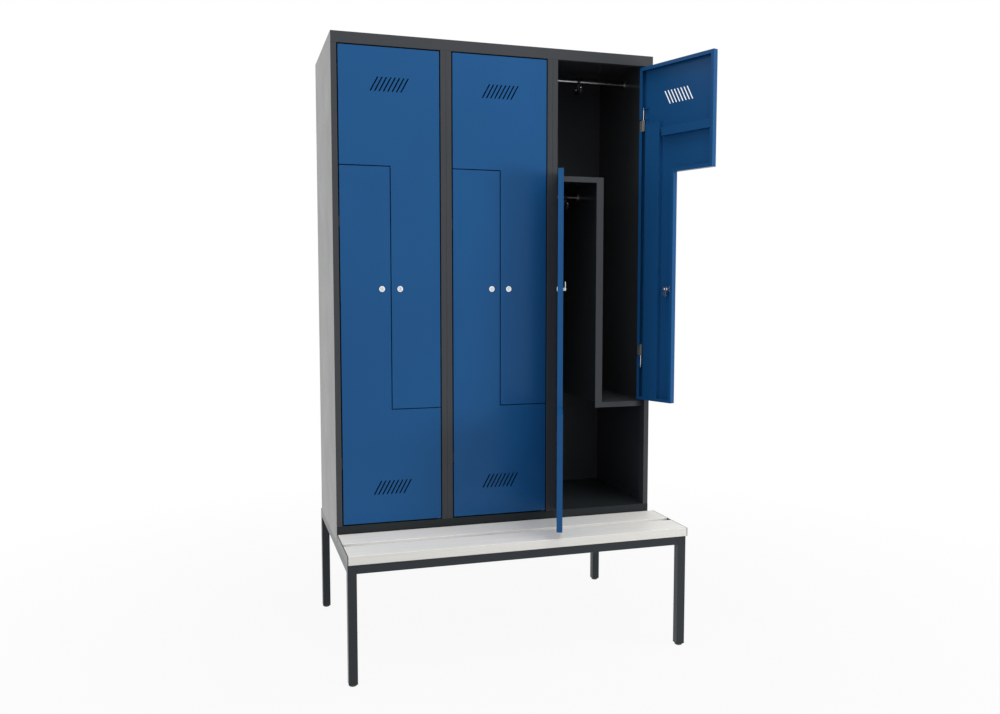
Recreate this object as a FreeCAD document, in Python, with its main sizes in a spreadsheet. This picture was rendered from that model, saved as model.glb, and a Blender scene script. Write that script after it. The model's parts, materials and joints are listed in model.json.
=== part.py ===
"""Steel locker unit on a bench underframe: three columns, each with two interlocking L-shaped doors.

Millimetres, +Z up, the doors face -Y. The origin is on the floor, under the middle of the
cabinet's front plane. Every door is drawn in a frame of its own: the origin on its pivot axis at
the middle height of the door opening, the hinge edge towards +X. The lower door of a column is the
upper door turned half round about the front-to-back axis.
"""

import FreeCAD, Part
import Sketcher
import math
import os
import re

doc = FreeCAD.newDocument("locker_unit")
sheet = doc.addObject("Spreadsheet::Sheet", "Dims")

# Driving dimensions: name, value, meaning
DIMENSIONS = [
    ("unit_width", "1200", "cabinet width over three columns"),
    ("unit_depth", "500", "cabinet depth"),
    ("unit_height", "2165", "floor to top of cabinet"),
    ("frame_height", "405", "floor to top of the bench frame"),
    ("sheet", "1", "sheet steel gauge"),
    ("post_width", "20", "front face of a post"),
    ("post_depth", "38", "return of a post into the cabinet"),
    ("rear_flange", "20", "flange of a wall along the back panel"),
    ("header_height", "38.5", "front band above the doors"),
    ("header_return", "18", "lip under the header"),
    ("sill_height", "57.5", "front band below the doors"),
    ("foot_flange", "20", "flange of the floor tray on the frame"),
    ("side_gap", "4", "door edge to post"),
    ("end_gap", "4.5", "door end to header or sill"),
    ("seam_gap", "3", "gap between the two doors of a column"),
    ("door_depth", "20", "door flange depth"),
    ("lip_width", "13", "return lip of the door flange"),
    ("edge_radius", "1.2", "outer bend radius of folded edges"),
    ("wing_height", "401.5", "height of a door's full-width part"),
    ("slot_width", "5", "vent slot, across"),
    ("slot_height", "49", "vent slot, upright"),
    ("slot_lean", "26.6", "sideways run of a vent slot"),
    ("slot_pitch", "15.2", "vent slot spacing"),
    ("slot_drop", "125", "door end to the middle of the vents"),
    ("pivot_inset", "9", "door edge to pivot axis"),
    ("pivot_depth", "8", "door front to pivot axis"),
    ("pin_radius", "3", "hinge pin"),
    ("pin_reach", "45", "pin length outside its bracket"),
    ("pin_clearance", "0.06", "running clearance round a hinge pin"),
    ("leaf_width", "24", "hinge leaf beside the pivot axis"),
    ("leaf_length", "40", "hinge leaf along the pin"),
    ("eye_margin", "3", "hinge eye round the pin"),
    ("pin_end", "3", "pin end beyond the hinge eye"),
    ("leaf_depth", "3", "hinge leaf thickness"),
    ("bracket_height", "40", "hinge bracket"),
    ("bracket_boss", "5.5", "bracket on each side of the pin"),
    ("bracket_slope", "10", "slant of the bracket's back"),
    ("bracket_drop", "213.5", "door end to the first bracket's middle"),
    ("bracket_rise", "189", "narrow door end to the second bracket's middle"),
    ("notch_clearance", "2", "door notch beyond the bracket"),
    ("stiffener_offset", "31", "door edge to hinge stiffener"),
    ("stiffener_width", "70", "hinge stiffener crown"),
    ("stiffener_foot", "10", "weld flange of a stiffener"),
    ("stiffener_drop", "212", "door end to the top of the hinge stiffener"),
    ("cross_drop", "235", "door end to the cross stiffener"),
    ("cross_height", "30", "cross stiffener crown"),
    ("lock_offset", "32", "column middle to lock axis"),
    ("lock_ring_radius", "11", "ring of the lock on the door front"),
    ("lock_ring", "2.5", "ring thickness"),
    ("barrel_radius", "8", "lock housing"),
    ("barrel_clearance", "0.2", "lock housing in the door hole"),
    ("nut_width", "21", "lock nut across flats"),
    ("nut_height", "5", "lock nut"),
    ("plug_radius", "6", "lock plug"),
    ("plug_clearance", "0.05", "running clearance round the lock plug"),
    ("plug_recess", "0.5", "plug front behind the ring front"),
    ("key_width", "1.6", "keyway"),
    ("key_height", "7", "keyway"),
    ("key_depth", "3", "keyway"),
    ("cam_reach", "27", "lock axis to cam tip"),
    ("cam_width", "18", "locking cam"),
    ("cam_gauge", "2.5", "locking cam thickness"),
    ("cam_clearance", "1.5", "locking cam behind the divider lip"),
    ("glide_width", "10", "nylon glide"),
    ("glide_height", "4", "nylon glide below the door"),
    ("stop_gap", "1", "swinging hinge edge to divider lip"),
    ("shelf_drop", "7", "door seam to shelf top"),
    ("shelf_lip", "20", "front lip of a shelf"),
    ("shelf_flange", "15", "side and rear flanges of a shelf"),
    ("divider_lip", "28", "front lip of the upright web"),
    ("rail_radius", "6", "coat rail"),
    ("rail_drop", "52", "coat rail below the surface over it"),
    ("rail_plate", "24", "end plate of a coat rail"),
    ("rail_plate_gauge", "2", "end plate thickness"),
    ("hook_clearance", "0.3", "hook ring round the rail"),
    ("hook_ring", "4.5", "wall of the hook ring"),
    ("hook_width", "10", "hook along the rail"),
    ("hook_gauge", "7", "hook arm"),
    ("hook_mouth", "18", "opening of a hook arm"),
    ("hook_tip", "28", "rail axis down to the arm tips"),
    ("hook_drop", "49", "rail axis down to the underside"),
    ("upper_hook_place", "0", "upper hook from the column middle"),
    ("lower_hook_place", "-53", "lower hook from the column middle"),
    ("wall_hole_radius", "4.5", "wall fixing holes"),
    ("wall_hole_inset", "80", "fixing hole to the top and bottom of the back"),
    ("wall_hole_span", "800", "between wall fixing holes"),
    ("tube", "30", "square tube of the frame"),
    ("tube_wall", "2", "square tube wall"),
    ("frame_reach", "276", "frame front before the cabinet front"),
    ("frame_overhang", "16", "frame beyond the cabinet's right side"),
    ("frame_tail", "35", "frame behind the cabinet back"),
    ("slat_height", "30", "seat slat"),
    ("slat_gap", "30", "gap between the slats"),
    ("slat_setback", "6", "cabinet front to rear slat"),
    ("slat_front", "3", "front slat beyond the frame"),
    ("slat_overhang", "5", "slats beyond the frame's right side"),
    ("slat_radius", "1.5", "slat edges"),
    ("end_plate", "3", "plate across the ends of the slats"),
    ("foot_height", "10", "foot cap below the leg"),
    ("foot_radius", "14", "foot cap dome"),
    ("foot_bevel", "3", "bevel of the dome's lower edge"),
    ("foot_plate", "3", "foot cap rim under the tube"),
    ("foot_plug", "15", "foot cap inside the tube"),
    ("plug_fit", "0.2", "foot cap inside the tube, each side"),
    ("upper_door_open", "110", "opening of column 3's upper door"),
    ("lower_door_open", "110.6", "opening of column 3's lower door"),
]

# Sizes that follow from the driving dimensions
DERIVED = [
    ("column_pitch", "=unit_width / 3"),
    ("wall_inside", "=column_pitch / 2 - sheet"),
    ("post_inside", "=column_pitch / 2 - post_width"),
    ("header_bottom", "=unit_height - header_height"),
    ("sill_top", "=frame_height + sill_height"),
    ("door_width", "=2 * post_inside - 2 * side_gap"),
    ("door_middle", "=(header_bottom + sill_top) / 2"),
    ("half_span", "=(header_bottom - sill_top) / 2 - end_gap"),
    ("seam_rise", "=half_span - wing_height - seam_gap / 2"),
    ("pivot_x", "=door_width / 2 - pivot_inset"),
    ("free_x", "=pivot_inset - door_width"),
    ("seam_x", "=pivot_inset - door_width / 2"),
    ("step_x", "=seam_x + seam_gap / 2"),
    ("step_z", "=seam_rise + seam_gap / 2"),
    ("tail_z", "=seam_gap / 2 - seam_rise"),
    ("back_y", "=door_depth - pivot_depth"),
    ("skin_y", "=sheet - pivot_depth"),
    ("bracket_top_z", "=half_span - bracket_drop"),
    ("bracket_low_z", "=tail_z + bracket_rise"),
    ("crown_x", "=pivot_inset - stiffener_offset"),
    ("lock_x", "=seam_x + lock_offset"),
    ("lip_y", "=pivot_depth + sqrt(pivot_inset ^ 2 + back_y ^ 2) + stop_gap"),
    ("cam_y", "=lip_y + sheet + cam_clearance - pivot_depth"),
    ("wall_back", "=unit_depth - sheet"),
    ("shelf_back", "=wall_back - sheet"),
    ("upper_shelf", "=seam_rise - shelf_drop"),
    ("lower_shelf", "=-seam_rise - shelf_drop"),
    ("rail_y", "=unit_depth / 2"),
    ("frame_left", "=-unit_width / 2"),
    ("frame_right", "=unit_width / 2 + frame_overhang"),
    ("frame_back", "=unit_depth + frame_tail"),
    ("rail_low", "=frame_height - tube"),
    ("slat_width", "=(frame_reach + slat_front - slat_setback - slat_gap) / 2"),
    ("slat_reach", "=frame_reach + slat_front"),
    ("slat_left", "=frame_left + end_plate"),
    ("slat_right", "=frame_right + slat_overhang - end_plate"),
]

for row, (alias, value, meaning) in enumerate(DIMENSIONS, start=1):
    sheet.set(f"A{row}", meaning)
    sheet.set(f"B{row}", value)
    sheet.setAlias(f"B{row}", alias)
for row, (alias, value) in enumerate(DERIVED, start=len(DIMENSIONS) + 2):
    sheet.set(f"A{row}", alias)
    sheet.set(f"B{row}", value)
    sheet.setAlias(f"B{row}", alias)
doc.recompute()

COLUMNS = {"column_1": "-column_pitch", "column_2": "0", "column_3": "column_pitch"}
TURN_Z = "create(<<vector>>; 0; 0; 1)"
TURN_Y = "create(<<vector>>; 0; 1; 0)"
TURN_X = "create(<<vector>>; 1; 0; 0)"
OPEN_DOORS = {"column_3_upper": "upper_door_open", "column_3_lower": "-lower_door_open"}
VENT_SLOTS = 8
RING_SIDES = 14
BORE_SIDES = 8
BARREL_SIDES = 8
EYE_SIDES = 8
DOME_SIDES = 10

nodes = []


def formula(text):
    """An expression in sheet names, written for another object of the document."""
    return re.sub(r"[a-z]\w+", r"Dims.\g<0>", text)


def size(text):
    """The present value of an expression in sheet names."""
    return float(sheet.evalExpression(text))


def new_body(name):
    body = doc.addObject("PartDesign::Body", name)
    body.Label = name
    return body


def finish(thing):
    """Keep an object as a node of the part."""
    nodes.append(thing)
    return thing


def place(thing, x, y, z, *turns):
    """Bind an object's placement: a position and any number of (axis, angle) turns."""
    spin = " * ".join(f"create(<<rotation>>; {axis}; {formula(angle)})" for axis, angle in turns)
    spin = spin or f"create(<<rotation>>; {TURN_Z}; 0)"
    where = "; ".join(formula(value) for value in (x, y, z))
    thing.setExpression("Placement", f"create(<<placement>>; create(<<vector>>; {where}); {spin})")
    return thing


def bind_point(sketch, geometry, position, x, y):
    for kind, value in (("DistanceX", x), ("DistanceY", y)):
        number = sketch.addConstraint(
            Sketcher.Constraint(kind, -1, 1, geometry, position, size(value))
        )
        sketch.setExpression(f"Constraints[{number}]", formula(value))


def draw_outline(sketch, points):
    """A closed outline whose corners are bound to the sheet."""
    first = len(sketch.Geometry)
    corners = [FreeCAD.Vector(size(x), size(y), 0) for x, y in points]
    for start, end in zip(corners, corners[1:] + corners[:1]):
        sketch.addGeometry(Part.LineSegment(start, end), False)
    for number, (x, y) in enumerate(points):
        following = first + (number + 1) % len(points)
        sketch.addConstraint(Sketcher.Constraint("Coincident", first + number, 2, following, 1))
        bind_point(sketch, first + number, 1, x, y)


def draw_circle(sketch, x, y, radius):
    centre = FreeCAD.Vector(size(x), size(y), 0)
    circle = Part.Circle(centre, FreeCAD.Vector(0, 0, 1), size(radius))
    number = sketch.addGeometry(circle, False)
    bind_point(sketch, number, 3, x, y)
    bound = sketch.addConstraint(Sketcher.Constraint("Radius", number, size(radius)))
    sketch.setExpression(f"Constraints[{bound}]", formula(radius))


def draw(body, plane, level, shapes):
    """A sketch on one of the body's origin planes; a shape of three values is a circle."""
    support = next(f for f in body.Origin.OriginFeatures if f.Role == f"{plane}_Plane")
    sketch = body.newObject("Sketcher::SketchObject", f"{body.Name}_sketch")
    sketch.AttachmentSupport = [(support, "")]
    sketch.MapMode = "FlatFace"
    sketch.setExpression("AttachmentOffset.Base.z", formula(level))
    for shape in shapes:
        if len(shape) == 3 and isinstance(shape[0], str):
            draw_circle(sketch, *shape)
        else:
            draw_outline(sketch, shape)
    return sketch


def pad(body, plane, shapes, start, length):
    """Material from start over length along the plane's normal, +Y for the XZ plane."""
    level = f"-({start} + {length})" if plane == "XZ" else start
    feature = body.newObject("PartDesign::Pad", f"{body.Name}_pad")
    feature.Profile = draw(body, plane, level, shapes)
    feature.setExpression("Length", formula(length))
    return feature


def pocket(body, plane, shapes, start, length):
    """A cut over the same stretch as a pad of these values."""
    level = f"-({start})" if plane == "XZ" else f"{start} + {length}"
    feature = body.newObject("PartDesign::Pocket", f"{body.Name}_pocket")
    feature.Profile = draw(body, plane, level, shapes)
    feature.setExpression("Length", formula(length))
    return feature


def dress_edges(body, kind, value, chosen):
    """Fillet or chamfer the edges of the body's tip whose two ends satisfy chosen."""
    doc.recompute()
    base = body.Tip
    names = [
        f"Edge{number}"
        for number, edge in enumerate(base.Shape.Edges, start=1)
        if len(edge.Vertexes) == 2 and chosen(*(vertex.Point for vertex in edge.Vertexes))
    ]
    feature = body.newObject(f"PartDesign::{kind}", f"{body.Name}_{kind}")
    feature.Base = (base, names)
    feature.setExpression({"Fillet": "Radius", "Chamfer": "Size"}[kind], formula(value))
    return feature


def rectangle(left, low, right, high):
    return [(left, low), (right, low), (right, high), (left, high)]


def polygon(x, y, radius, sides):
    """A regular polygon with flats at radius, one of them level."""
    corners = [math.pi * (2 * number + 1) / sides for number in range(sides)]
    reach = f"({radius}) * {1 / math.cos(math.pi / sides):.6f}"
    return [
        (f"{x} + {reach} * ({math.sin(turn):.6f})", f"{y} + {reach} * ({math.cos(turn):.6f})")
        for turn in corners
    ]


def same(first, last):
    return abs(first - last) < 1e-4


def near(value, text):
    return same(value, size(text))


def group(name, pieces):
    """Identical pieces kept together as one node."""
    compound = doc.addObject("Part::Compound", name)
    compound.Label = name
    compound.Links = pieces
    return finish(compound)


def copies(master, places):
    """The master placed once and linked for every further place."""
    pieces = []
    for number, where in enumerate(places):
        piece = master
        if number:
            piece = doc.addObject("App::Link", f"{master.Name}_{number}")
            piece.LinkedObject = master
        pieces.append(place(piece, *where))
    return pieces


# Carcass


def make_wall(name, hand, bottom):
    """A side wall with its front post; hand is the sign of the way into the compartment."""
    body = new_body(name)

    def at(x):
        return f"{hand} * ({x})"

    plan = [
        ("0", "0"),
        (at("post_width"), "0"),
        (at("post_width"), "post_depth"),
        (at("post_width - sheet"), "post_depth"),
        (at("post_width - sheet"), "sheet"),
        (at("sheet"), "sheet"),
        (at("sheet"), "wall_back - sheet"),
        (at("rear_flange"), "wall_back - sheet"),
        (at("rear_flange"), "wall_back"),
        ("0", "wall_back"),
    ]

    outermost = bottom == "frame_height"

    def clear(depth):
        """Room for a front band; an outermost wall keeps its sheet behind the band."""
        room = rectangle(at("-sheet"), "-sheet", at("post_width + sheet"), depth)
        if outermost:
            room[3:] = [(at("sheet"), depth), (at("sheet"), "sheet"), (at("-sheet"), "sheet")]
        return room

    pad(body, "XY", [plan], bottom, f"unit_height - sheet - {bottom}")
    pocket(body, "XY", [clear("header_return + sheet")], "header_bottom", "header_height")
    if outermost:
        pocket(body, "XY", [clear("post_depth + sheet")], "frame_height", "sill_height")

    def on_post(first, last):
        upright = same(first.x, last.x) and same(first.y, last.y)
        return upright and near(first.y, "0") and abs(first.z - last.z) > size("wing_height")

    dress_edges(body, "Fillet", "edge_radius", on_post)
    return body


def make_top():
    body = new_body("top_panel")
    left, right = "-unit_width / 2", "unit_width / 2"
    pad(body, "XY", [rectangle(left, "0", right, "unit_depth")], "unit_height - sheet", "sheet")
    pad(body, "XZ", [rectangle(left, "header_bottom", right, "unit_height")], "0", "sheet")
    lip = rectangle(f"{left} + sheet", "0", f"{right} - sheet", "header_return")
    pad(body, "XY", [lip], "header_bottom", "sheet")

    def along_front(first, last):
        return near(first.y, "0") and near(last.y, "0") and same(first.z, last.z)

    dress_edges(body, "Fillet", "edge_radius", along_front)
    return body


def make_floor():
    body = new_body("floor_panel")
    left, right = "-unit_width / 2", "unit_width / 2"
    inner_left, inner_right = f"{left} + sheet", f"{right} - sheet"
    low, high = "frame_height", "sill_top"
    deck = rectangle(inner_left, "0", inner_right, "shelf_back")
    flange = "foot_flange + sheet"
    frame = [deck, rectangle(f"{left} + {flange}", flange, f"{right} - {flange}",
                             f"shelf_back - {flange}")]
    skirt = [deck, rectangle(f"{inner_left} + sheet", "sheet", f"{inner_right} - sheet",
                             "shelf_back - sheet")]
    pad(body, "XY", [deck], f"{high} - sheet", "sheet")
    pad(body, "XY", skirt, low, f"{high} - {low}")
    pad(body, "XY", frame, low, "sheet")
    pad(body, "XZ", [rectangle(left, low, right, high)], "0", "sheet")

    def sill_edge(first, last):
        level = near(first.z, "sill_top") and near(last.z, "sill_top")
        return level and near(first.y, "0") and near(last.y, "0")

    dress_edges(body, "Fillet", "edge_radius", sill_edge)
    return body


def make_back():
    body = new_body("back_panel")
    left, right = "-unit_width / 2", "unit_width / 2"
    face = rectangle(left, "frame_height", right, "unit_height - sheet")
    pad(body, "XZ", [face], "wall_back", "sheet")
    holes = [
        (f"{side} * wall_hole_span / 2", z, "wall_hole_radius")
        for side in ("-1", "1")
        for z in ("sill_top + wall_hole_inset", "unit_height - wall_hole_inset")
    ]
    pocket(body, "XZ", holes, "wall_back", "sheet")
    return body


def make_divider(column, x):
    """The Z-shaped divider between the two compartments of a column."""
    body = new_body(f"{column}_z_divider")
    turn = {"upper_shelf": "-1", "lower_shelf": "1"}
    for level, hand in turn.items():

        def at(value):
            return f"{hand} * ({value})"

        deck = [
            (at("-sheet / 2"), "lip_y"),
            (at("post_inside"), "lip_y"),
            (at("post_inside"), "post_depth"),
            (at("wall_inside"), "post_depth"),
            (at("wall_inside"), "shelf_back"),
            (at("-sheet / 2"), "shelf_back"),
        ]
        lip = rectangle(at("0"), f"{level} - shelf_lip", at("post_inside"), level)
        side = rectangle(at("wall_inside - sheet"), "post_depth", at("wall_inside"), "shelf_back")
        rear = rectangle(at("0"), f"{level} - shelf_flange", at("wall_inside"), level)
        pad(body, "XY", [deck], f"{level} - sheet", "sheet")
        pad(body, "XZ", [lip], "lip_y", "sheet")
        pad(body, "XY", [side], f"{level} - shelf_flange", "shelf_flange")
        pad(body, "XZ", [rear], "shelf_back - sheet", "sheet")
    web = rectangle("-sheet / 2", "lip_y", "sheet / 2", "shelf_back")
    post = rectangle("-divider_lip / 2", "lower_shelf - shelf_lip", "divider_lip / 2", "upper_shelf")
    pad(body, "XY", [web], "lower_shelf - sheet", "upper_shelf - lower_shelf + sheet")
    pad(body, "XZ", [post], "lip_y", "sheet")
    return place(body, x, "0", "door_middle")


def make_rail(name, x, z, left, right):
    """A coat rod between two upright faces, with a plate at each end."""
    body = new_body(name)
    half = "rail_plate / 2"
    pad(body, "YZ", [("0", "0", "rail_radius")], left, f"{right} - ({left})")
    for start in (left, f"{right} - rail_plate_gauge"):
        pad(body, "YZ", [rectangle(f"-{half}", f"-{half}", half, half)], start, "rail_plate_gauge")
    return place(body, x, "rail_y", z)


def make_hook(name, x, z):
    """A sliding double hook: a ring on the rail, a stem and an arm to the front and to the back."""
    body = new_body(name)
    bore = "rail_radius + hook_clearance"
    ring = f"{bore} + hook_ring"
    stem, floor = "hook_gauge / 2", "hook_gauge - hook_drop"
    inner, outer = f"{stem} + hook_mouth", f"{stem} + hook_mouth + hook_gauge"
    bevel = "hook_mouth / 4"
    arm = [
        (f"({ring}) * 0.414214", ring),
        (ring, f"({ring}) * 0.414214"),
        (ring, f"({ring}) * -0.414214"),
        (stem, f"-({ring})"),
        (stem, f"{floor} + {bevel}"),
        (f"{stem} + {bevel}", floor),
        (f"{inner} - {bevel}", floor),
        (inner, f"{floor} + {bevel}"),
        (inner, "-hook_tip"),
        (outer, "-hook_tip"),
        (outer, f"{bevel} * 2 - hook_drop"),
        (f"{outer} - {bevel} * 2", "-hook_drop"),
    ]
    other_arm = [(f"-({y})", level) for y, level in reversed(arm)]
    shapes = [arm + other_arm, polygon("0", "0", bore, 8)]
    pad(body, "YZ", shapes, "-hook_width / 2", "hook_width")
    return place(body, x, "rail_y", z)


# Hinges, drawn round the pivot axis with the post towards +X


def make_bracket():
    """A goose-neck from the post round the door's edge to the pivot axis."""
    body = new_body("hinge_bracket")
    wall = "pivot_inset + side_gap"
    rear = "post_depth - pivot_depth - sheet"
    half = "bracket_boss / 2"
    outline = [
        ("-bracket_boss", f"-{half}"),
        (f"-{half}", "-bracket_boss"),
        (half, "-bracket_boss"),
        ("bracket_boss", f"-{half}"),
        ("bracket_boss", half),
        (half, "bracket_boss"),
        (half, "back_y + sheet"),
        (wall, "back_y + sheet + stop_gap"),
        (wall, rear),
        (f"{wall} / 3", rear),
        ("-bracket_boss", f"{rear} - bracket_slope"),
    ]
    pad(body, "XY", [outline], "-bracket_height / 2", "bracket_height")
    return body


def make_pin():
    """The pin that stands on a bracket."""
    body = new_body("hinge_pin")
    pad(body, "XY", [("0", "0", "pin_radius")], "bracket_height / 2", "pin_reach")
    return body


# Doors


def door_outline(inset):
    """The L-shaped outline of a door, drawn in by inset."""
    left, right = f"free_x + {inset}", f"pivot_inset - {inset}"
    top, step, tail = f"half_span - {inset}", f"step_z + {inset}", f"tail_z + {inset}"
    inner = f"step_x + {inset}"
    return [(left, top), (right, top), (right, tail), (inner, tail), (inner, step), (left, step)]


def make_door(name):
    body = new_body(name)
    outer = door_outline("0")
    pad(body, "XZ", [outer], "-pivot_depth", "sheet")
    pad(body, "XZ", [outer, door_outline("sheet")], "-pivot_depth", "door_depth")
    pad(body, "XZ", [outer, door_outline("lip_width")], "back_y - sheet", "sheet")

    def front_edge(first, last):
        return near(first.y, "-pivot_depth") and near(last.y, "-pivot_depth")

    dress_edges(body, "Fillet", "edge_radius", front_edge)

    reach = "bracket_height / 2 + notch_clearance"
    notches = [
        rectangle("pivot_inset - lip_width - sheet", f"{level} - ({reach})",
                  "pivot_inset + sheet", f"{level} + {reach}")
        for level in ("bracket_top_z", "bracket_low_z")
    ]
    pocket(body, "XZ", notches, "skin_y", "door_depth")
    hole = polygon("lock_x", "0", "barrel_radius + barrel_clearance", BARREL_SIDES)
    pocket(body, "XZ", [hole], "-pivot_depth", "sheet")

    low, high = "half_span - slot_drop - slot_height / 2", "half_span - slot_drop + slot_height / 2"
    left = f"seam_x - slot_pitch * {(VENT_SLOTS - 1) / 2} - slot_width / 2"
    slot = [
        (f"{left} - slot_lean / 2", low),
        (f"{left} - slot_lean / 2 + slot_width", low),
        (f"{left} + slot_lean / 2 + slot_width", high),
        (f"{left} + slot_lean / 2", high),
    ]
    vent = pocket(body, "XZ", [slot], "-pivot_depth", "sheet")
    row = body.newObject("PartDesign::LinearPattern", f"{name}_vents")
    row.Originals = [vent]
    row.Direction = (vent.Profile[0], ["H_Axis"])
    row.setExpression("Length", formula(f"slot_pitch * {VENT_SLOTS - 1}"))
    row.Occurrences = VENT_SLOTS
    body.Tip = row
    return body


def hat(start, crown_start, crown_end, end, base, top):
    """A hat section: feet on base, crown at top, sheet thick."""
    return [
        (start, base),
        (f"{crown_start} + sheet", base),
        (f"{crown_start} + sheet", f"{top} - sheet"),
        (f"{crown_end} - sheet", f"{top} - sheet"),
        (f"{crown_end} - sheet", base),
        (end, base),
        (end, f"{base} + sheet"),
        (crown_end, f"{base} + sheet"),
        (crown_end, top),
        (crown_start, top),
        (crown_start, f"{base} + sheet"),
        (start, f"{base} + sheet"),
    ]


def make_hinge_stiffener(name):
    """A hat section along the hinge edge; two leaves with eyes on the pins are welded to it."""
    body = new_body(name)
    far = "crown_x - stiffener_width"
    low = "tail_z + lip_width"
    plan = hat(f"{far} - stiffener_foot", far, "crown_x", "crown_x + stiffener_foot",
               "skin_y", "back_y")
    pad(body, "XY", [plan], low, f"half_span - stiffener_drop - ({low})")
    high = "bracket_top_z + bracket_height / 2 + pin_reach - pin_end"
    deep = "bracket_low_z - bracket_height / 2 - pin_reach + pin_end"
    strip = rectangle("crown_x - sheet", low, "crown_x + stiffener_foot", high)
    pad(body, "XZ", [strip], "skin_y", "sheet")
    edge = "pin_radius + eye_margin"
    hole = polygon("0", "0", "pin_radius + pin_clearance", EYE_SIDES)
    eye = [rectangle("-leaf_width", "skin_y", edge, edge), hole]
    for leaf_low, eye_low in ((f"{high} - leaf_length", f"{high} - leaf_depth"), (deep, deep)):
        leaf = rectangle("-leaf_width", leaf_low, edge, f"{leaf_low} + leaf_length")
        pad(body, "XZ", [leaf], "skin_y", "leaf_depth")
        pad(body, "XY", eye, eye_low, "leaf_depth")
    return body


def make_cross_stiffener(name):
    body = new_body(name)
    top = "half_span - cross_drop"
    low = f"{top} - cross_height"
    section = [
        (y, z)
        for z, y in hat(f"{low} - stiffener_foot", low, top, f"{top} + stiffener_foot",
                        "skin_y", "back_y")
    ]
    start = "free_x + lip_width + sheet"
    end = "crown_x - stiffener_width - stiffener_foot - sheet"
    pad(body, "YZ", [section], start, f"{end} - ({start})")
    return body


def make_lock(name):
    """The housing of a cylinder lock: the ring in front, the barrel and the nut behind the skin."""
    body = new_body(name)
    front = "-pivot_depth - lock_ring"
    ring = polygon("lock_x", "0", "lock_ring_radius", RING_SIDES)
    barrel = polygon("lock_x", "0", "barrel_radius", BARREL_SIDES)
    bore = polygon("lock_x", "0", "plug_radius + plug_clearance", BORE_SIDES)
    pad(body, "XZ", [ring], front, "lock_ring")
    pad(body, "XZ", [barrel], "-pivot_depth", "pivot_depth + cam_y - plug_recess")
    pad(body, "XZ", [polygon("lock_x", "0", "nut_width / 2", 6)], "skin_y", "nut_height")
    pocket(body, "XZ", [bore], front, f"cam_y - ({front})")
    return body


def make_lock_cam(name):
    """The plug of a lock with its cam, which hangs down when the door is unlocked."""
    body = new_body(name)
    front = "plug_recess - pivot_depth - lock_ring"
    half = "cam_width / 2"
    cam = [
        (f"lock_x - {half}", f"{half} - cam_reach"),
        (f"lock_x - {half} * 0.5", "-cam_reach"),
        (f"lock_x + {half} * 0.5", "-cam_reach"),
        (f"lock_x + {half}", f"{half} - cam_reach"),
        (f"lock_x + {half}", f"{half} * 0.6"),
        (f"lock_x + {half} * 0.6", half),
        (f"lock_x - {half} * 0.6", half),
        (f"lock_x - {half}", f"{half} * 0.6"),
    ]
    key = rectangle("lock_x - key_width / 2", "-key_height / 2",
                    "lock_x + key_width / 2", "key_height / 2")
    pad(body, "XZ", [("lock_x", "0", "plug_radius")], front, f"cam_y - ({front})")
    pad(body, "XZ", [cam], "cam_y", "cam_gauge")
    pocket(body, "XZ", [key], front, "key_depth")
    return body


def make_glide(name):
    """A nylon glide on the flange at the free corner of a door."""
    body = new_body(name)
    left = "free_x + edge_radius"
    profile = [
        (left, "half_span"),
        (f"{left} + glide_width", "half_span"),
        (f"{left} + glide_width * 0.8", "half_span + glide_height"),
        (f"{left} + glide_width * 0.2", "half_span + glide_height"),
    ]
    pad(body, "XZ", [profile], "back_y - glide_width", "glide_width")
    return body


# Bench


def make_leg_frame(name, left):
    """Two legs and the side rail between them, welded from square tube."""
    body = new_body(name)
    right = f"{left} + tube"
    front, back = "-frame_reach", "frame_back"

    def section(low_x, low_y):
        outer = rectangle(low_x, low_y, f"{low_x} + tube", f"{low_y} + tube")
        inner = rectangle(f"{low_x} + tube_wall", f"{low_y} + tube_wall",
                          f"{low_x} + tube - tube_wall", f"{low_y} + tube - tube_wall")
        return [outer, inner]

    for y in (front, f"{back} - tube"):
        pad(body, "XY", section(left, y), "foot_height", "frame_height - foot_height")
        cap = rectangle(left, y, right, f"{y} + tube")
        pad(body, "XY", [cap], "frame_height - tube_wall", "tube_wall")
    pad(body, "XZ", section(left, "rail_low"), f"{front} + tube", f"{back} - tube * 2 - ({front})")
    return body


def make_long_rail(name, y):
    body = new_body(name)
    outer = rectangle(y, "rail_low", f"{y} + tube", "frame_height")
    inner = rectangle(f"{y} + tube_wall", "rail_low + tube_wall",
                      f"{y} + tube - tube_wall", "frame_height - tube_wall")
    pad(body, "YZ", [outer, inner], "frame_left + tube", "frame_right - frame_left - tube * 2")
    return body


def make_slat(name, front):
    body = new_body(name)
    side = rectangle(front, "frame_height", f"{front} + slat_width", "frame_height + slat_height")
    pad(body, "YZ", [side], "slat_left", "slat_right - slat_left")

    def lengthwise(first, last):
        return same(first.y, last.y) and same(first.z, last.z)

    dress_edges(body, "Fillet", "slat_radius", lengthwise)
    return body


def make_seat_end(name, x):
    """A plate across the ends of both slats."""
    body = new_body(name)
    side = rectangle("-slat_reach", "frame_height", "-slat_setback", "frame_height + slat_height")
    pad(body, "YZ", [side], x, "end_plate")
    return body


def make_foot():
    """A foot cap, its top edge at the lower end of the leg."""
    body = new_body("foot_cap")
    half, plug = "tube / 2", "tube / 2 - tube_wall - plug_fit"
    pad(body, "XY", [rectangle(f"-{half}", f"-{half}", half, half)], "-foot_plate", "foot_plate")
    pad(body, "XY", [rectangle(f"-({plug})", f"-({plug})", plug, plug)], "0", "foot_plug")
    dome = polygon("0", "0", "foot_radius", DOME_SIDES)
    pad(body, "XY", [dome], "-foot_height", "foot_height - foot_plate")

    def on_floor(first, last):
        return near(first.z, "-foot_height") and near(last.z, "-foot_height")

    dress_edges(body, "Chamfer", "foot_bevel", on_floor)
    return body


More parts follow.
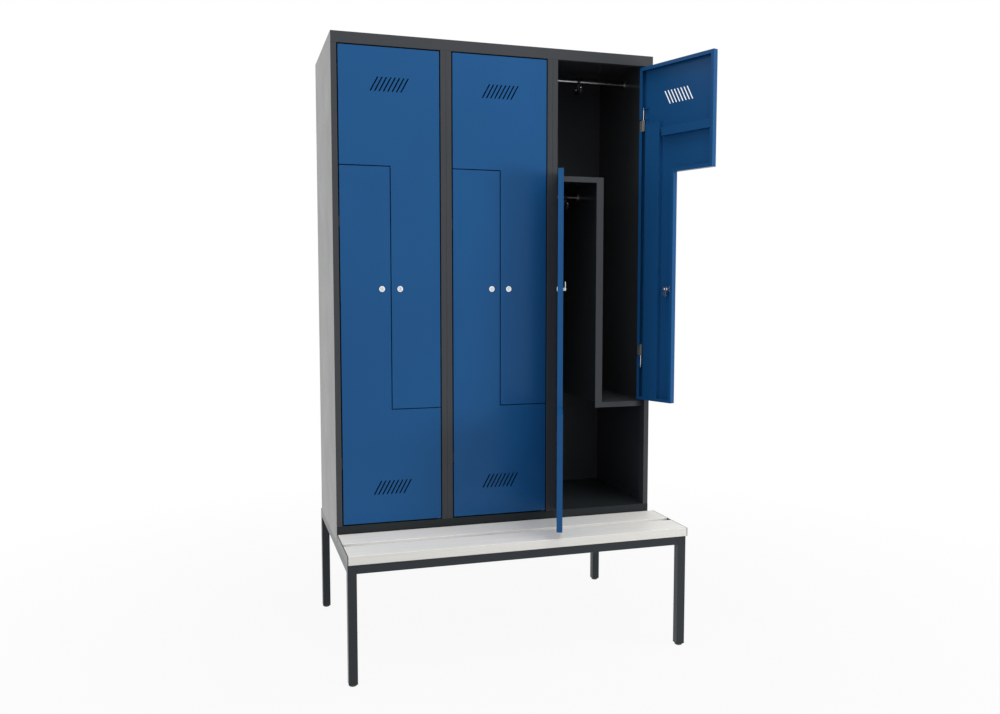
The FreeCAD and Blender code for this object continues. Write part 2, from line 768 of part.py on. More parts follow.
# Assembly of the carcass
half_width = "unit_width / 2"
for name, x, hand in (("left_side_panel", f"-{half_width}", "1"), ("right_side_panel", half_width, "-1")):
    finish(place(make_wall(name, hand, "frame_height"), x, "0", "0"))
for name, x in (("left_partition", "-column_pitch / 2"), ("right_partition", "column_pitch / 2")):
    halves = [make_wall(f"{name}_{hand}", sign, "sill_top") for hand, sign in (("a", "-1"), ("b", "1"))]
    group(name, [place(half, x, "0", "0") for half in halves])
for panel in (make_top(), make_floor(), make_back()):
    finish(panel)

rails = []
upper_rail = "unit_height - sheet - rail_drop"
lower_rail = "door_middle + upper_shelf - sheet - rail_drop"
for column, x in COLUMNS.items():
    finish(make_divider(column, x))
    rails.append(make_rail(f"{column}_upper_rail", x, upper_rail, "-wall_inside", "wall_inside"))
    rails.append(make_rail(f"{column}_lower_rail", x, lower_rail, "-wall_inside", "-sheet / 2"))
    finish(make_hook(f"{column}_upper_hook", f"{x} + upper_hook_place", upper_rail))
    finish(make_hook(f"{column}_lower_hook", f"{x} + lower_hook_place", lower_rail))
group("coat_rails", rails)

# Assembly of the hinges: a flipped hinge serves a lower door
FLIP = (TURN_Y, "180")
bracket_places = []
pin_places = []
for x in COLUMNS.values():
    for level, reversed_pin in (("bracket_top_z", False), ("bracket_low_z", True)):
        upper = (f"{x} + pivot_x", "pivot_depth", f"door_middle + {level}")
        lower = (f"{x} - pivot_x", "pivot_depth", f"door_middle - ({level})")
        bracket_places += [upper, (*lower, FLIP)]
        pin_places.append((*upper, FLIP) if reversed_pin else upper)
        pin_places.append(lower if reversed_pin else (*lower, FLIP))
group("hinge_brackets", copies(make_bracket(), bracket_places))
group("hinge_pins", copies(make_pin(), pin_places))

# Assembly of the doors
for column, x in COLUMNS.items():
    for level in ("upper", "lower"):
        door = f"{column}_{level}"
        pieces = [
            make_door(f"{door}_door"),
            make_hinge_stiffener(f"{door}_hinge_stiffener"),
            make_cross_stiffener(f"{door}_cross_stiffener"),
            make_lock(f"{door}_lock"),
            make_lock_cam(f"{door}_lock_cam"),
        ]
        turns = [(TURN_Z, OPEN_DOORS.get(door, "0"))]
        side = "+"
        if level == "lower":
            pieces.append(make_glide(f"{door}_glide"))
            turns.append(FLIP)
            side = "-"
        for piece in pieces:
            finish(place(piece, f"{x} {side} pivot_x", "pivot_depth", "door_middle", *turns))

# Assembly of the bench
slats = {"front_slat": "-slat_reach", "rear_slat": "-slat_setback - slat_width"}
for name, left in (("left_leg_frame", "frame_left"), ("right_leg_frame", "frame_right - tube")):
    finish(make_leg_frame(name, left))
finish(make_long_rail("front_rail", "-frame_reach"))
finish(make_long_rail("rear_rail", "frame_back - tube"))
for name, front in slats.items():
    finish(make_slat(name, front))
seat_ends = {"left_seat_end": "frame_left", "right_seat_end": "slat_right"}
group("seat_ends", [make_seat_end(name, x) for name, x in seat_ends.items()])
legs = [
    (x, y, "foot_height")
    for x in ("frame_left + tube / 2", "frame_right - tube / 2")
    for y in ("tube / 2 - frame_reach", "frame_back - tube / 2")
]
group("foot_caps", copies(make_foot(), legs))

# Checks and export
doc.recompute()
for thing in doc.Objects:
    if "Invalid" in thing.State or "Error" in thing.State:
        raise RuntimeError(f"{thing.Label}: {thing.State}")
os.makedirs("parts", exist_ok=True)
for node in nodes:
    shape = node.Shape
    if shape.isNull() or not shape.isValid():
        raise RuntimeError(f"{node.Label}: the shape is not valid")
    shape.exportStep(f"parts/{node.Label}.step")
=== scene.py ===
"""Looks of the steel locker unit on its bench underframe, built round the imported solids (metres)."""

import json
import math

import bmesh
import bpy
from mathutils import Matrix, Vector


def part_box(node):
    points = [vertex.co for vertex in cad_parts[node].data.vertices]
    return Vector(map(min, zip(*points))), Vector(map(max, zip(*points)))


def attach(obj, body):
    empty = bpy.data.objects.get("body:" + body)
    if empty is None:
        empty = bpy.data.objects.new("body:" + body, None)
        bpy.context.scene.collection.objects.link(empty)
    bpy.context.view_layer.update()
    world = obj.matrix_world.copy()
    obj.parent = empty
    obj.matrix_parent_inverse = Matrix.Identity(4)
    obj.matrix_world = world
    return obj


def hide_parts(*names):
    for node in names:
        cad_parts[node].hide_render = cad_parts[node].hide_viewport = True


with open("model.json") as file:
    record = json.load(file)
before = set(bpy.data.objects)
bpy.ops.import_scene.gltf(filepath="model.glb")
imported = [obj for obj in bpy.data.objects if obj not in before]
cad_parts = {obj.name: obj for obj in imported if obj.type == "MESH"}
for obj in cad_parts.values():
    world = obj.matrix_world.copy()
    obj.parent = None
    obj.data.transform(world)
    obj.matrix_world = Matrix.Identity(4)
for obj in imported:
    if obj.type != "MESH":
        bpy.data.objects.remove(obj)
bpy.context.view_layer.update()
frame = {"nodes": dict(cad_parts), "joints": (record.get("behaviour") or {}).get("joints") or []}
nodes = frame["nodes"]
joints = {joint["name"]: joint for joint in frame["joints"]}

MM = 0.001
LEVELS = {"upper": 1, "lower": -1}
DOORS = {f"column_{n}_{level}": hand for n in (1, 2, 3) for level, hand in LEVELS.items()}

# Camera of the photo
CAMERA_PLACE = (-0.9674, -3.1472, 1.2931)
CAMERA_DOWN = 4.274
CAMERA_RIGHT = 17.066
CAMERA_LENS = 32.54

# Lock housing
RING_RADIUS = 11.0 * MM
RING_DEPTH = 2.5 * MM
RING_ROLL = 2.0 * MM
RING_PLAY = 0.2 * MM
BARREL_RADIUS = 8.0 * MM
BORE_RADIUS = 6.1 * MM
BORE_CHAMFER = 0.4 * MM
BORE_CHAMFER_DEPTH = 0.9 * MM
THREAD_PITCH = 1.25 * MM
THREAD_DEPTH = 0.4 * MM
NUT_WIDTH = 21.0 * MM
NUT_HEIGHT = 5.0 * MM
SKIN = 1.0 * MM

# Lock plug and cam; the keyway's outline is in millimetres
PLUG_RADIUS = 5.95 * MM
PLUG_RECESS = 0.5 * MM
PLUG_CHAMFER = 0.3 * MM
PLUG_SIDES = 40
KEYWAY = (
    (-0.8, -3.5), (-0.3, -3.5), (-0.3, -1.0), (0.8, -1.0),
    (0.8, 1.2), (0.3, 1.2), (0.3, 3.5), (-0.8, 3.5),
)
KEY_DEPTH = 3.0 * MM
CAM_HALF = 8.95 * MM
CAM_REACH = 26.9 * MM
CAM_GAUGE = 2.5 * MM
CAM_CORNER = 4.0 * MM
SCREW_RADIUS = 4.2 * MM
SCREW_HEIGHT = 2.2 * MM

# Hinge pins and hooks
BRACKET_LEVELS = (614 * MM, -234 * MM)
BRACKET_HALF = 20.0 * MM
PIN_RADIUS = 3.0 * MM
PIN_HEAD = 2.5 * MM
HOOK_ARM = 21.0 * MM
HOOK_GAUGE = 7.0 * MM
TIP_RADIUS = 4.4 * MM

# Bolts under the side tubes; two to a slat, at these shares of its width
TUBE = 30.0 * MM
BOLT_WIDTH = 13.0 * MM
BOLT_HEIGHT = 5.3 * MM
WASHER_RADIUS = 8.0 * MM
WASHER_GAUGE = 1.5 * MM
SLAT_BOLTS = (0.4, 0.8)
CABINET_BOLT_SIDE = 10.0 * MM
CABINET_BOLT_END = 60.0 * MM

# Edges and stage
WELD_REACH = 1e-6
BEND_ANGLE = 32
FLOOR_SIZE = 30.0
FLOOR_COLOUR = (0.42, 0.42, 0.42, 1.0)
FLOOR_SHADOW_SHARE = 0.93
FLOOR_SHADOW_REACH = (1.0, 3.0)
WORLD_LIGHT = 0.56


# Materials


class Graph:
    """A material's node tree with short helpers."""

    def __init__(self, name):
        self.material = bpy.data.materials.new(name)
        self.material.use_nodes = True
        self.tree = self.material.node_tree
        self.shader = self.tree.nodes["Principled BSDF"]
        self.place = self.add("ShaderNodeTexCoord").outputs["Object"]

    def add(self, kind, **values):
        node = self.tree.nodes.new(kind)
        for key, value in values.items():
            setattr(node, key, value)
        return node

    def link(self, source, target):
        self.tree.links.new(source, target)

    def stretch(self, scale):
        """Object coordinates scaled along each axis."""
        node = self.add("ShaderNodeMapping")
        node.inputs["Scale"].default_value = scale
        self.link(self.place, node.inputs["Vector"])
        return node.outputs["Vector"]

    def noise(self, scale, detail=3.0, rough=0.55, place=None):
        node = self.add("ShaderNodeTexNoise")
        node.inputs["Scale"].default_value = scale
        node.inputs["Detail"].default_value = detail
        node.inputs["Roughness"].default_value = rough
        self.link(place or self.place, node.inputs["Vector"])
        return node.outputs["Fac"]

    def span(self, value, low, high, start=0.3, end=0.7):
        """A value from start..end mapped to low..high."""
        node = self.add("ShaderNodeMapRange")
        node.inputs["From Min"].default_value = start
        node.inputs["From Max"].default_value = end
        node.inputs["To Min"].default_value = low
        node.inputs["To Max"].default_value = high
        self.link(value, node.inputs["Value"])
        return node.outputs["Result"]

    def math(self, kind, first, second):
        node = self.add("ShaderNodeMath", operation=kind)
        for socket, value in zip(node.inputs, (first, second)):
            if isinstance(value, (int, float)):
                socket.default_value = value
            else:
                self.link(value, socket)
        return node.outputs["Value"]

    def mix(self, factor, first, second):
        node = self.add("ShaderNodeMix", data_type="RGBA")
        self.link(factor, node.inputs["Factor"])
        for name, value in (("A", first), ("B", second)):
            socket = next(s for s in node.inputs if s.name == name and s.type == "RGBA")
            if isinstance(value, tuple):
                socket.default_value = (*value, 1.0)
            else:
                self.link(value, socket)
        return next(s for s in node.outputs if s.type == "RGBA")

    def edges(self, radius):
        """1 on edges, 0 on flat faces."""
        bevel = self.add("ShaderNodeBevel", samples=4)
        bevel.inputs["Radius"].default_value = radius
        normal = self.add("ShaderNodeNewGeometry").outputs["Normal"]
        dot = self.add("ShaderNodeVectorMath", operation="DOT_PRODUCT")
        self.link(bevel.outputs["Normal"], dot.inputs[0])
        self.link(normal, dot.inputs[1])
        return self.span(dot.outputs["Value"], 1.0, 0.0, start=0.75, end=0.99)

    def bump(self, height, strength, distance):
        node = self.add("ShaderNodeBump")
        node.inputs["Strength"].default_value = strength
        node.inputs["Distance"].default_value = distance
        self.link(height, node.inputs["Height"])
        self.link(node.outputs["Normal"], self.shader.inputs["Normal"])

    def colour(self, value):
        self.link(value, self.shader.inputs["Base Color"])

    def roughness(self, value):
        self.link(value, self.shader.inputs["Roughness"])


def tint(colour, share):
    """A colour made darker or lighter."""
    return tuple(min(1.0, part * share) for part in colour)


def powder_coat(name, colour, worn, rough, gloss):
    """Semi-gloss powder coat: orange peel, faint cloudiness and slightly rubbed edges."""
    g = Graph(name)
    cloud = g.span(g.noise(2.3, detail=4.0), 0.0, 1.0)
    body = g.mix(cloud, tint(colour, 0.94), tint(colour, 1.06))
    specks = g.span(g.noise(900.0, detail=1.0), 0.0, 0.5)
    body = g.mix(specks, body, tint(colour, 1.10))
    patches = g.span(g.noise(38.0, detail=5.0, rough=0.7), 0.0, 0.4, start=0.45, end=0.75)
    rubbed = g.math("MULTIPLY", g.edges(1.0 * MM), patches)
    g.colour(g.mix(rubbed, body, worn))
    g.roughness(g.span(g.noise(5.0, detail=3.0), rough - 0.015, rough + 0.025))
    ripple = g.math("MULTIPLY", g.noise(110.0, detail=2.0), 0.6)
    peel = g.math("ADD", g.noise(520.0, detail=2.0), ripple)
    g.bump(peel, strength=0.03, distance=0.1 * MM)
    g.shader.inputs["Specular IOR Level"].default_value = gloss
    return g.material


def slat_board(name, colour):
    """Pale seat slat with faint streaks along its length."""
    g = Graph(name)
    streak = g.noise(1.0, detail=5.0, rough=0.6, place=g.stretch((2.2, 55.0, 55.0)))
    fine = g.noise(1.0, detail=3.0, rough=0.6, place=g.stretch((9.0, 420.0, 420.0)))
    body = g.mix(g.span(streak, 0.0, 1.0, start=0.3, end=0.72), tint(colour, 1.02), tint(colour, 0.93))
    body = g.mix(g.span(fine, 0.0, 0.5, start=0.45, end=0.75), body, tint(colour, 0.88))
    patches = g.span(g.noise(30.0, detail=5.0), 0.0, 0.3, start=0.4, end=0.75)
    scuff = g.math("MULTIPLY", g.edges(3.0 * MM), patches)
    g.colour(g.mix(scuff, body, tint(colour, 0.75)))
    g.roughness(g.span(streak, 0.40, 0.52))
    g.bump(g.math("ADD", fine, streak), strength=0.10, distance=0.3 * MM)
    g.shader.inputs["Specular IOR Level"].default_value = 0.25
    return g.material


def moulded(name, colour, rough):
    """Moulded plastic with a fine grain."""
    g = Graph(name)
    cloud = g.span(g.noise(60.0, detail=4.0), 0.0, 1.0)
    body = g.mix(cloud, tint(colour, 0.88), tint(colour, 1.12))
    patches = g.span(g.noise(220.0, detail=4.0), 0.0, 0.4, start=0.45, end=0.7)
    scuff = g.math("MULTIPLY", g.edges(1.5 * MM), patches)
    g.colour(g.mix(scuff, body, tuple(part * 0.6 + 0.08 for part in colour)))
    g.roughness(g.span(g.noise(90.0, detail=4.0), rough - 0.06, rough + 0.08))
    g.bump(g.noise(1800.0, detail=2.0), strength=0.15, distance=0.2 * MM)
    return g.material


def plated(name, colour, rough, grain):
    """Bright plated steel; grain stretches the drawing marks along one axis."""
    g = Graph(name)
    marks = g.noise(1.0, detail=4.0, rough=0.6, place=g.stretch(grain))
    haze = g.noise(45.0, detail=4.0)
    g.colour(g.mix(g.span(haze, 0.0, 1.0), tint(colour, 0.88), tint(colour, 1.05)))
    g.roughness(g.math("ADD", g.span(marks, rough - 0.04, rough + 0.08), g.span(haze, 0.0, 0.05)))
    g.bump(marks, strength=0.06, distance=0.2 * MM)
    g.shader.inputs["Metallic"].default_value = 1.0
    return g.material


carcass_paint = powder_coat(
    "carcass_paint", (0.054, 0.058, 0.063), (0.13, 0.135, 0.14), rough=0.22, gloss=0.12)
frame_paint = powder_coat("frame_paint", (0.028, 0.034, 0.040), (0.12, 0.125, 0.13), rough=0.30, gloss=0.20)
end_paint = powder_coat("end_paint", (0.040, 0.042, 0.044), (0.12, 0.125, 0.13), rough=0.30, gloss=0.40)
# A darker copy of the carcass paint for the cabinet's floor panel, sill and inside floor: painted shade
# where little light falls
shaded_floor_paint = powder_coat("shaded_floor_paint", (0.021, 0.025, 0.027), (0.10, 0.105, 0.11), rough=0.30, gloss=0.15)
door_paint = powder_coat("door_paint", (0.0105, 0.084, 0.238), (0.035, 0.125, 0.285), rough=0.30, gloss=0.17)
hinge_paint = powder_coat("hinge_paint", (0.20, 0.202, 0.205), (0.35, 0.35, 0.35), rough=0.40, gloss=0.40)
slat_finish = slat_board("slat_finish", (0.84, 0.825, 0.785))
black_plastic = moulded("black_plastic", (0.016, 0.016, 0.017), rough=0.42)
white_plastic = moulded("white_plastic", (0.78, 0.78, 0.76), rough=0.40)
rod_steel = plated("rod_steel", (0.50, 0.50, 0.50), rough=0.26, grain=(6.0, 700.0, 700.0))
pin_steel = plated("pin_steel", (0.82, 0.82, 0.82), rough=0.18, grain=(700.0, 700.0, 12.0))
cam_steel = plated("cam_steel", (0.80, 0.83, 0.87), rough=0.22, grain=(500.0, 60.0, 60.0))
chrome = plated("chrome", (0.89, 0.92, 0.96), rough=0.09, grain=(300.0, 300.0, 300.0))


# Surfaces


def make_smoother():
    """A modifier group that shades a mesh smooth."""
    group = bpy.data.node_groups.new("shade_smooth", "GeometryNodeTree")
    group.interface.new_socket("Geometry", in_out="INPUT", socket_type="NodeSocketGeometry")
    group.interface.new_socket("Geometry", in_out="OUTPUT", socket_type="NodeSocketGeometry")
    start = group.nodes.new("NodeGroupInput")
    smooth = group.nodes.new("GeometryNodeSetShadeSmooth")
    end = group.nodes.new("NodeGroupOutput")
    group.links.new(start.outputs[0], smooth.inputs["Geometry"])
    group.links.new(smooth.outputs[0], end.inputs[0])
    return group


smoother = make_smoother()


def soften(thing, width):
    """Small bends on every sharp edge, shaded smoothly."""
    weld = thing.modifiers.new("weld", "WELD")
    weld.merge_threshold = WELD_REACH
    bevel = thing.modifiers.new("bend", "BEVEL")
    bevel.width = width
    bevel.segments = 2
    bevel.limit_method = "ANGLE"
    bevel.angle_limit = math.radians(BEND_ANGLE)
    bevel.use_clamp_overlap = True
    thing.modifiers.new("smooth", "NODES").node_group = smoother
    normals = thing.modifiers.new("normals", "WEIGHTED_NORMAL")
    normals.keep_sharp = True


# Material and edge bend of the solids, by the end of their names; the flat back has no bend
FINISHES = {
    "door": (door_paint, 0.25 * MM),
    "stiffener": (door_paint, 0.3 * MM),
    "hook": (black_plastic, 1.2 * MM),
    "glide": (white_plastic, 0.8 * MM),
    # the floor panel takes the darker paint: painted shade
    "floor_panel": (shaded_floor_paint, 0.3 * MM),
    "back_panel": (carcass_paint, 0.0),
    "leg_frame": (frame_paint, 1.2 * MM),
    "front_rail": (frame_paint, 1.2 * MM),
    "rear_rail": (frame_paint, 1.2 * MM),
    "slat": (slat_finish, 0.4 * MM),
    "seat_ends": (end_paint, 0.6 * MM),
    "foot_caps": (black_plastic, 0.6 * MM),
    "coat_rails": (rod_steel, 0.4 * MM),
    "hinge_pins": (pin_steel, 0.6 * MM),
    "hinge_brackets": (hinge_paint, 0.5 * MM),
    "lock_cam": (cam_steel, 0.3 * MM),
    "lock": (chrome, 0.3 * MM),
}
PLAIN_FINISH = (carcass_paint, 0.3 * MM)


def finish_of(name):
    """Material and edge bend of one solid."""
    return next((FINISHES[end] for end in FINISHES if name.endswith(end)), PLAIN_FINISH)


for name, thing in nodes.items():
    material, width = finish_of(name)
    thing.data.materials.clear()
    thing.data.materials.append(material)
    if width:
        soften(thing, width)


# Pieces made here


def add_piece(name, bm, material, body, edge):
    """A new object from a mesh under construction, on a body of the frame."""
    bmesh.ops.recalc_face_normals(bm, faces=bm.faces[:])
    mesh = bpy.data.meshes.new(name)
    bm.to_mesh(mesh)
    bm.free()
    mesh.materials.append(material)
    piece = bpy.data.objects.new(name, mesh)
    bpy.context.scene.collection.objects.link(piece)
    soften(piece, edge)
    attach(piece, body)
    return piece


def add_copy(bm, part, place):
    """Adds a small form to a mesh under construction, moved to its place."""
    part.transform(place)
    mesh = bpy.data.meshes.new("copy")
    part.to_mesh(mesh)
    part.free()
    bm.from_mesh(mesh)
    bpy.data.meshes.remove(mesh)


def circle(radius, steps, start=0.0):
    """Points (x, z) round a circle."""
    turns = [start + 2 * math.pi * step / steps for step in range(steps)]
    return [(radius * math.cos(turn), radius * math.sin(turn)) for turn in turns]


def hexagon(width, start=0):
    """Six corners from the width across flats."""
    return circle(width / 2 / math.cos(math.radians(30)), 6, math.radians(start))


def arc(x, z, radius, start, end, steps=6):
    """Points (x, z) along an arc between two angles in degrees."""
    turns = [math.radians(start + (end - start) * step / steps) for step in range(steps + 1)]
    return [(x + radius * math.cos(turn), z + radius * math.sin(turn)) for turn in turns]


def ring_at(bm, outline, y):
    """New corners along an outline of (x, z) points, at one depth."""
    return [bm.verts.new((x, y, z)) for x, z in outline]


def join(bm, first, last):
    """Side faces between two rings of equal length."""
    for i in range(len(first)):
        j = (i + 1) % len(first)
        bm.faces.new((first[i], first[j], last[j], last[i]))


def turned(bm, profile, steps=48):
    """A closed form turned round Y from (radius, y) points; its ends are flat or, at radius 0, pointed."""
    rings = [ring_at(bm, circle(radius, steps), y) for radius, y in profile]
    for first, last in zip(rings, rings[1:]):
        join(bm, first, last)
    bm.faces.new(rings[0])
    bm.faces.new(rings[-1])


def tube_of(bm, profile, steps=56):
    """A ring-shaped form turned round Y from a closed loop of (radius, y) points."""
    rings = [ring_at(bm, circle(radius, steps), y) for radius, y in profile]
    for first, last in zip(rings, rings[1:] + rings[:1]):
        join(bm, first, last)


def extruded(bm, outline, start, end, hole=None):
    """A prism over an outline of (x, z) points, with a hole of as many points where one is given."""
    front, back = ring_at(bm, outline, start), ring_at(bm, outline, end)
    join(bm, front, back)
    if hole is None:
        bm.faces.new(front)
        bm.faces.new(back)
        return
    front_hole, back_hole = ring_at(bm, hole, start), ring_at(bm, hole, end)
    join(bm, front_hole, back_hole)
    join(bm, front, front_hole)
    join(bm, back, back_hole)


def dome(bm, radius, start, height, steps=24):
    """A low round head on the plane y = start."""
    turns = [math.radians(turn) for turn in (20, 45, 65, 82)]
    rise = [(radius * math.cos(turn), start + height * math.sin(turn)) for turn in turns]
    turned(bm, [(radius, start), *rise], steps)


def lock_place(door):
    """The lock's frame: origin on its axis at the depth of the door's pivot, Y into the cabinet."""
    joint = joints[f"{door}_lock_turn"]
    inward = Vector(joint["axis"]).normalized()
    up = Vector((0, 0, 1))
    turn = Matrix((inward.cross(up), inward, up)).transposed().to_4x4()
    return Matrix.Translation(Vector(joint["pos_m"])) @ turn


lock_axis = Vector(joints["column_1_upper_lock_turn"]["pos_m"])
ring_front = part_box("column_1_upper_lock")[0].y - lock_axis.y
barrel_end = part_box("column_1_upper_lock")[1].y - lock_axis.y
cam_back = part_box("column_1_upper_lock_cam")[1].y - lock_axis.y
door_front = ring_front + RING_DEPTH
nut_start = door_front + SKIN


def make_lock(door):
    """Chrome ring with a rolled edge, threaded barrel and hex nut, in place of the plain housing."""
    bm = bmesh.new()
    edge = RING_RADIUS - RING_PLAY
    roll = edge - RING_ROLL
    profile = [(BORE_RADIUS, ring_front + BORE_CHAMFER_DEPTH), (BORE_RADIUS + BORE_CHAMFER, ring_front)]
    rounding = arc(roll, ring_front + RING_ROLL, RING_ROLL, start=0, end=-75, steps=5)
    profile += [(roll, ring_front), *reversed(rounding)]
    profile += [(edge, door_front), (BARREL_RADIUS, door_front)]
    thread_start = nut_start + NUT_HEIGHT
    for turn in range(int((barrel_end - thread_start) / THREAD_PITCH)):
        y = thread_start + turn * THREAD_PITCH
        profile += [(BARREL_RADIUS, y), (BARREL_RADIUS - THREAD_DEPTH, y + THREAD_PITCH / 2)]
    profile += [(BARREL_RADIUS, barrel_end), (BORE_RADIUS, barrel_end)]
    tube_of(bm, profile)
    extruded(bm, hexagon(NUT_WIDTH, 30), nut_start, nut_start + NUT_HEIGHT,
             circle(BARREL_RADIUS - THREAD_DEPTH, 6, math.radians(30)))
    bm.transform(lock_place(door))
    piece = add_piece(f"{door}_lock_housing", bm, chrome, f"{door}_leaf", edge=0.15 * MM)
    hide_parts(f"{door}_lock")


def make_lock_plug(door, hand):
    """Plug with a stepped keyway, the rounded cam and the screw that holds it, in place of the plain cam."""
    bm = bmesh.new()
    front = ring_front + PLUG_RECESS
    cam_front = cam_back - CAM_GAUGE
    rim = ring_at(bm, circle(PLUG_RADIUS - PLUG_CHAMFER, PLUG_SIDES), front)
    keyway = [(x * MM, z * MM) for x, z in KEYWAY]
    mouth = ring_at(bm, keyway, front)
    edges = [bm.edges.new((ring[i - 1], ring[i])) for ring in (rim, mouth) for i in range(len(ring))]
    bmesh.ops.triangle_fill(bm, edges=edges, use_beauty=True)
    bottom = ring_at(bm, keyway, front + KEY_DEPTH)
    around = set(bm.faces)
    join(bm, mouth, bottom)
    bm.faces.new(bottom)
    # The keyway's walls and bottom take black plastic: painted shade inside the keyway
    for face in set(bm.faces) - around:
        face.material_index = 1
    shoulder = ring_at(bm, circle(PLUG_RADIUS, PLUG_SIDES), front + PLUG_CHAMFER)
    end = ring_at(bm, circle(PLUG_RADIUS, PLUG_SIDES), cam_front)
    join(bm, rim, shoulder)
    join(bm, shoulder, end)
    bm.faces.new(end)
    side, tip = CAM_HALF - CAM_CORNER, CAM_CORNER - CAM_REACH
    plate = arc(0, 0, CAM_HALF, start=0, end=180, steps=14)
    plate += arc(-side, tip, CAM_CORNER, 180, 270) + arc(side, tip, CAM_CORNER, 270, 360)
    extruded(bm, [(hand * x, hand * z) for x, z in plate], cam_front, cam_back)
    dome(bm, SCREW_RADIUS, cam_back, SCREW_HEIGHT)
    bm.transform(lock_place(door))
    piece = add_piece(f"{door}_plug_and_cam", bm, cam_steel, f"{door}_cam", edge=0.2 * MM)
    # black plastic for the painted shade in the keyway
    piece.data.materials.append(black_plastic)
    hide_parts(f"{door}_lock_cam")


def make_hook_tips(door):
    """Bright balls on the two arm ends of a sliding hook."""
    low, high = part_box(f"{door}_hook")
    bm = bmesh.new()
    for y in (low.y + HOOK_GAUGE / 2, high.y - HOOK_GAUGE / 2):
        ball = bmesh.ops.create_icosphere(bm, subdivisions=3, radius=TIP_RADIUS)
        tip = ((low.x + high.x) / 2, y, low.z + HOOK_ARM + TIP_RADIUS / 2)
        bmesh.ops.translate(bm, verts=ball["verts"], vec=tip)
    add_piece(f"{door}_hook_tips", bm, pin_steel, f"{door}_slider", edge=0.1 * MM)


def make_pin_ends():
    """Riveted ends of the hinge pins on the far side of their brackets."""
    bm = bmesh.new()
    for door, hand in DOORS.items():
        pivot = Vector(joints[f"{door}_door_hinge"]["pos_m"])
        for level, side in zip(BRACKET_LEVELS, (-1, 1)):
            place = pivot + Vector((0, 0, hand * (level + side * BRACKET_HALF)))
            end = bmesh.new()
            dome(end, PIN_RADIUS, 0, PIN_HEAD)
            outward = Matrix.Rotation(math.radians(90 * hand * side), 4, "X")
            add_copy(bm, end, Matrix.Translation(place) @ outward)
    add_piece("hinge_pin_ends", bm, pin_steel, "carcass", edge=0.1 * MM)


def make_frame_bolts():
    """Hex bolts with washers under the side tubes, which hold the slats and the cabinet."""
    bm = bmesh.new()
    cabinet_low, cabinet_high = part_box("floor_panel")
    for side in ("left_leg_frame", "right_leg_frame"):
        tube_low, tube_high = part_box(side)
        middle = (tube_low.x + tube_high.x) / 2
        places = []
        for slat in ("front_slat", "rear_slat"):
            low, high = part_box(slat)
            places += [(middle, low.y + share * (high.y - low.y)) for share in SLAT_BOLTS]
        edge = min(max(middle, cabinet_low.x + CABINET_BOLT_SIDE), cabinet_high.x - CABINET_BOLT_SIDE)
        places += [(edge, cabinet_low.y + CABINET_BOLT_END), (edge, cabinet_high.y - CABINET_BOLT_END)]
        for x, y in places:
            bolt = bmesh.new()
            turned(bolt, [(WASHER_RADIUS, 0), (WASHER_RADIUS, WASHER_GAUGE)], steps=32)
            extruded(bolt, hexagon(BOLT_WIDTH), WASHER_GAUGE, WASHER_GAUGE + BOLT_HEIGHT)
            downward = Matrix.Rotation(math.radians(-90), 4, "X")
            add_copy(bm, bolt, Matrix.Translation((x, y, tube_high.z - TUBE)) @ downward)
    add_piece("frame_bolts", bm, cam_steel, "carcass", edge=0.5 * MM)


for door, hand in DOORS.items():
    make_lock(door)
    make_lock_plug(door, hand)
    make_hook_tips(door)
make_pin_ends()
make_frame_bolts()


# Stage


def make_floor():
    """A white floor that keeps a soft shadow round the object."""
    bm = bmesh.new()
    bmesh.ops.create_grid(bm, x_segments=1, y_segments=1, size=FLOOR_SIZE)
    mesh = bpy.data.meshes.new("floor")
    bm.to_mesh(mesh)
    bm.free()
    floor = bpy.data.objects.new("floor", mesh)
    bpy.context.scene.collection.objects.link(floor)
    g = Graph("floor_white")
    g.shader.inputs["Base Color"].default_value = FLOOR_COLOUR
    g.shader.inputs["Roughness"].default_value = 0.9
    g.shader.inputs["Specular IOR Level"].default_value = 0.1
    glow = g.add("ShaderNodeEmission")
    path = g.add("ShaderNodeLightPath")
    away = g.add("ShaderNodeVectorMath", operation="LENGTH")
    g.link(g.place, away.inputs[0])
    share = g.span(away.outputs["Value"], FLOOR_SHADOW_SHARE, 1.0, *FLOOR_SHADOW_REACH)
    seen = g.math("MAXIMUM", path.outputs["Is Glossy Ray"], path.outputs["Is Transmission Ray"])
    seen = g.math("MAXIMUM", g.math("MULTIPLY", path.outputs["Is Camera Ray"], share), seen)
    blend = g.add("ShaderNodeMixShader")
    g.link(seen, blend.inputs[0])
    g.link(g.shader.outputs[0], blend.inputs[1])
    g.link(glow.outputs[0], blend.inputs[2])
    g.link(blend.outputs[0], g.tree.nodes["Material Output"].inputs["Surface"])
    mesh.materials.append(g.material)


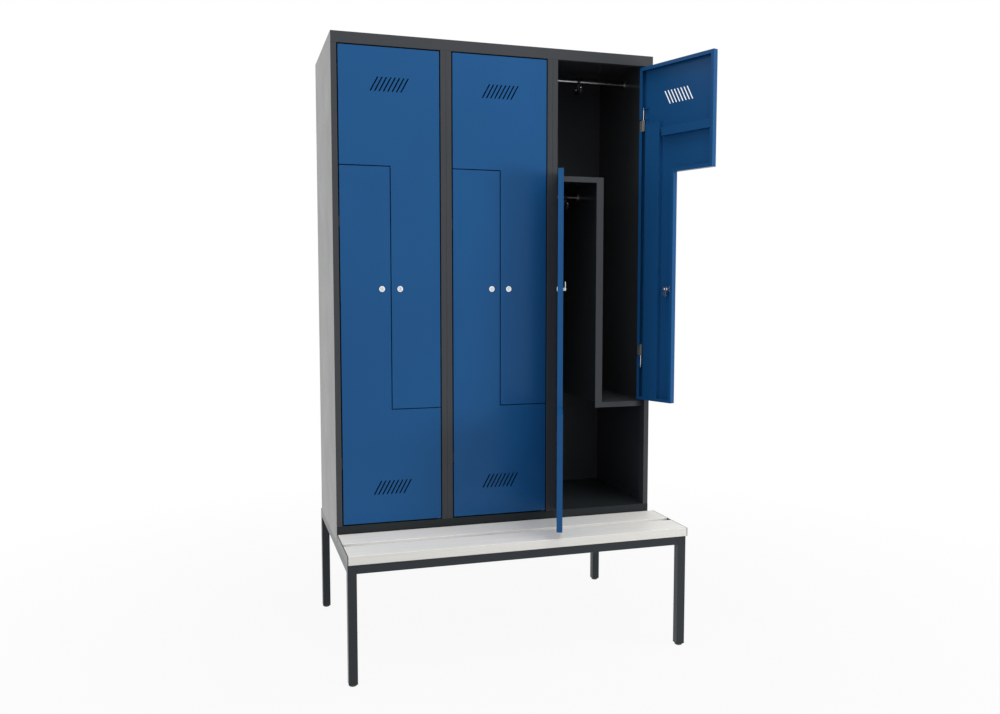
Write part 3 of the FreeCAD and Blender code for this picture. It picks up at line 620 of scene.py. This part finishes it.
def make_world():
    """White to look at and in reflections, soft light elsewhere."""
    world = bpy.data.worlds.new("studio")
    bpy.context.scene.world = world
    world.use_nodes = True
    tree = world.node_tree
    path = tree.nodes.new("ShaderNodeLightPath")
    seen = path.outputs["Is Camera Ray"]
    for other in ("Is Glossy Ray", "Is Transmission Ray"):
        either = tree.nodes.new("ShaderNodeMath")
        either.operation = "MAXIMUM"
        tree.links.new(seen, either.inputs[0])
        tree.links.new(path.outputs[other], either.inputs[1])
        seen = either.outputs[0]
    level = tree.nodes.new("ShaderNodeMapRange")
    level.inputs["To Min"].default_value = WORLD_LIGHT
    level.inputs["To Max"].default_value = 1.0
    tree.links.new(seen, level.inputs["Value"])
    background = tree.nodes["Background"]
    background.inputs["Color"].default_value = (1, 1, 1, 1)
    tree.links.new(level.outputs["Result"], background.inputs["Strength"])


def make_lamp(name, place, target, size, power):
    """A round lamp that isn't seen, in reflections either."""
    data = bpy.data.lights.new(name, "AREA")
    data.shape = "DISK"
    data.size = size
    data.energy = power
    lamp = bpy.data.objects.new(name, data)
    bpy.context.scene.collection.objects.link(lamp)
    lamp.visible_camera = False
    lamp.visible_glossy = False
    lamp.location = place
    lamp.rotation_euler = (Vector(target) - Vector(place)).to_track_quat("-Z", "Y").to_euler()


def make_camera():
    """The photo's camera."""
    data = bpy.data.cameras.new("camera")
    data.sensor_fit = "HORIZONTAL"
    data.sensor_width = 36.0
    data.lens = CAMERA_LENS
    camera = bpy.data.objects.new("camera", data)
    bpy.context.scene.collection.objects.link(camera)
    camera.location = CAMERA_PLACE
    camera.rotation_euler = (math.radians(90 - CAMERA_DOWN), 0, math.radians(-CAMERA_RIGHT))
    bpy.context.scene.camera = camera


make_floor()
make_world()
make_lamp("key", place=(1.2, -3.0, 4.4), target=(0.0, 0.0, 1.2), size=2.6, power=40)
make_lamp("right", place=(3.2, -2.4, 1.5), target=(0.0, 0.0, 1.2), size=1.5, power=60)
make_lamp("left", place=(-3.6, -1.0, 1.7), target=(0.8, -0.2, 1.5), size=1.8, power=24)
make_lamp("top", place=(0.1, -1.0, 4.9), target=(0.1, -0.3, 0.5), size=2.5, power=52)
make_camera()
bpy.context.scene.view_settings.view_transform = "Standard"
